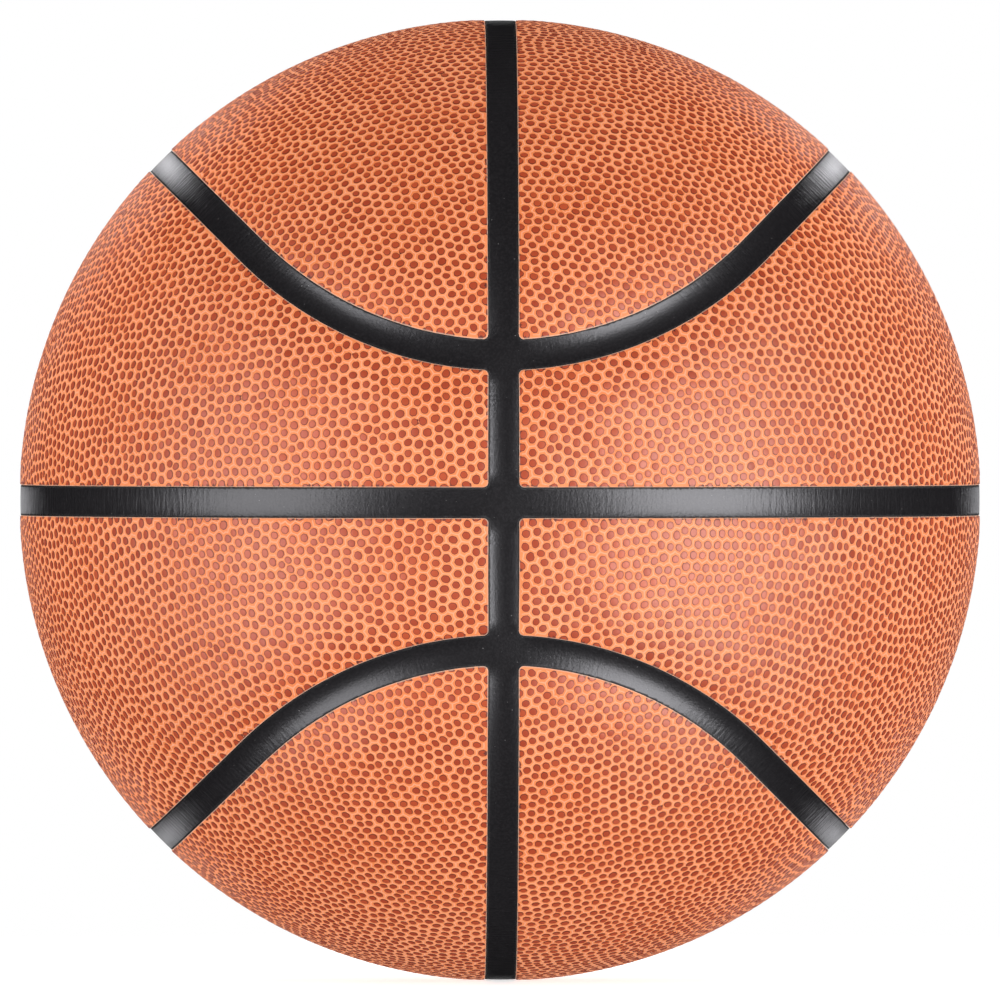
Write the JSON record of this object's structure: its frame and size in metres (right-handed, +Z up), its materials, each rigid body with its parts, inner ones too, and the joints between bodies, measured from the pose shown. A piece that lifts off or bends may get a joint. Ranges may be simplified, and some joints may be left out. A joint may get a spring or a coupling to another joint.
{
  "type": "basketball",
  "caption": "Inflatable basketball: pebbled cover panels bonded to a ribbed rubber carcass, over a thread winding, an air bladder and a soft needle valve.",
  "frame": {"origin": "the ball's centre", "axes": "+Z up, through the middle of the top and bottom panels' ring; -Y towards the viewer of the picture, where the two straight seams cross; +X to that viewer's right"},
  "size_m": [0.2398, 0.2398, 0.2398],
  "materials": {
    "cover": "pebbled composite, satin pebbles in a brighter orange ground",
    "carcass_rubber": "smooth moulded, semi-gloss",
    "winding_thread": "fine wound thread",
    "bladder_rubber": "smooth, matt",
    "valve_rubber": "moulded, satin",
    "plug_rubber": "soft, matt"
  },
  "bodies": {
    "root": {"top_panel_left": "cover", "top_panel_right": "cover", "upper_panel_left": "cover", "upper_panel_right": "cover", "lower_panel_left": "cover", "lower_panel_right": "cover", "bottom_panel_left": "cover", "bottom_panel_right": "cover", "carcass": "carcass_rubber", "thread_winding": "winding_thread", "bladder": "bladder_rubber", "valve_housing": "valve_rubber", "valve_plug": "plug_rubber"}
  },
  "joints": []
}
